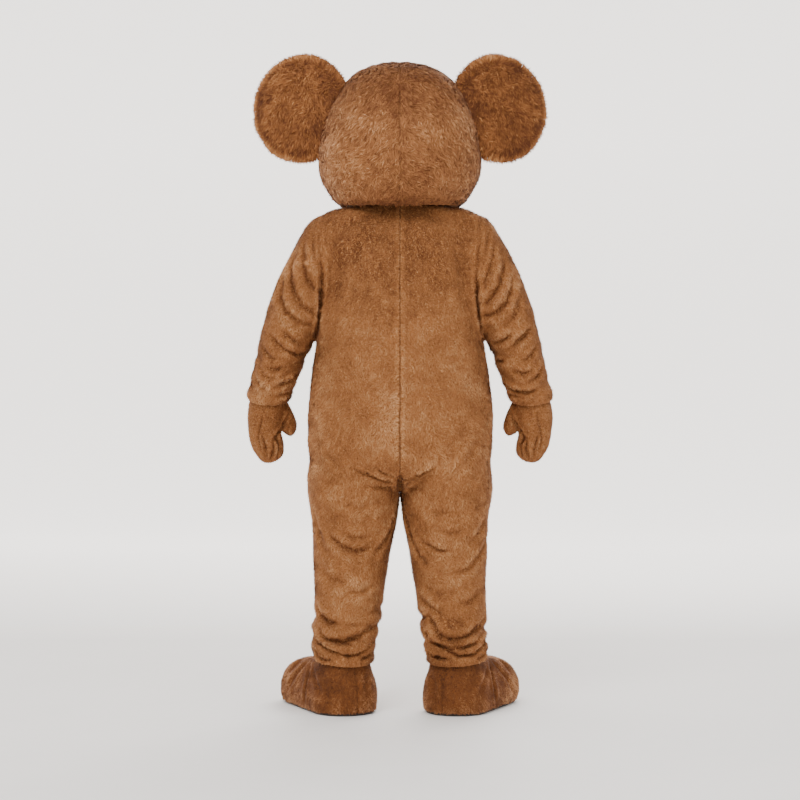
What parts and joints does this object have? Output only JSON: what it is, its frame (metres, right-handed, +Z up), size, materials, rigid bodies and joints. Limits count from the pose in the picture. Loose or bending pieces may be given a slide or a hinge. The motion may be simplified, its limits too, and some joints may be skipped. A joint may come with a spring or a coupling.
{
  "type": "koala mascot costume",
  "caption": "Hollow plush koala costume as worn: padded round-eared head that lifts off, jumpsuit, mitts and shoe covers.",
  "frame": {"origin": "middle of the shoulder line, where the wearer's shoulders carry the suit", "axes": "+Z up, -Y the way the costume faces, +X its own left"},
  "size_m": [0.8914, 0.4777, 1.8799],
  "materials": {
    "suit_plush": "short-pile plush",
    "head_plush": "shaggy plush over foam",
    "ear_plush": "long-pile plush",
    "mitt_plush": "short-pile plush",
    "shoe_plush": "short-pile plush, darker",
    "eye_dome": "polished, dark",
    "nose_cloth": "smooth napped cloth",
    "sole_rubber": "matt crepe"
  },
  "bodies": {
    "suit": {"suit_back_left": "suit_plush", "suit_back_right": "suit_plush", "suit_front_left": "suit_plush", "suit_front_right": "suit_plush", "sleeve_left": "suit_plush", "sleeve_right": "suit_plush", "mitt_left_palm": "mitt_plush", "mitt_left_back": "mitt_plush", "mitt_right_palm": "mitt_plush", "mitt_right_back": "mitt_plush", "shoe_left_outer": "shoe_plush", "shoe_left_inner": "shoe_plush", "shoe_right_outer": "shoe_plush", "shoe_right_inner": "shoe_plush", "sole_left": "sole_rubber", "sole_right": "sole_rubber"},
    "head": {"head_back_left_upper": "head_plush", "head_back_left_lower": "head_plush", "head_back_right_upper": "head_plush", "head_back_right_lower": "head_plush", "head_face": "head_plush", "ear_left_back": "ear_plush", "ear_left_front": "ear_plush", "ear_right_back": "ear_plush", "ear_right_front": "ear_plush", "eye_left": "eye_dome", "eye_right": "eye_dome", "nose": "nose_cloth"}
  },
  "joints": [
    {"name": "head_lift", "type": "slide", "parent": "suit", "child": "head", "axis": [0, 0, 1], "range_m": [0, 0.4]}
  ]
}
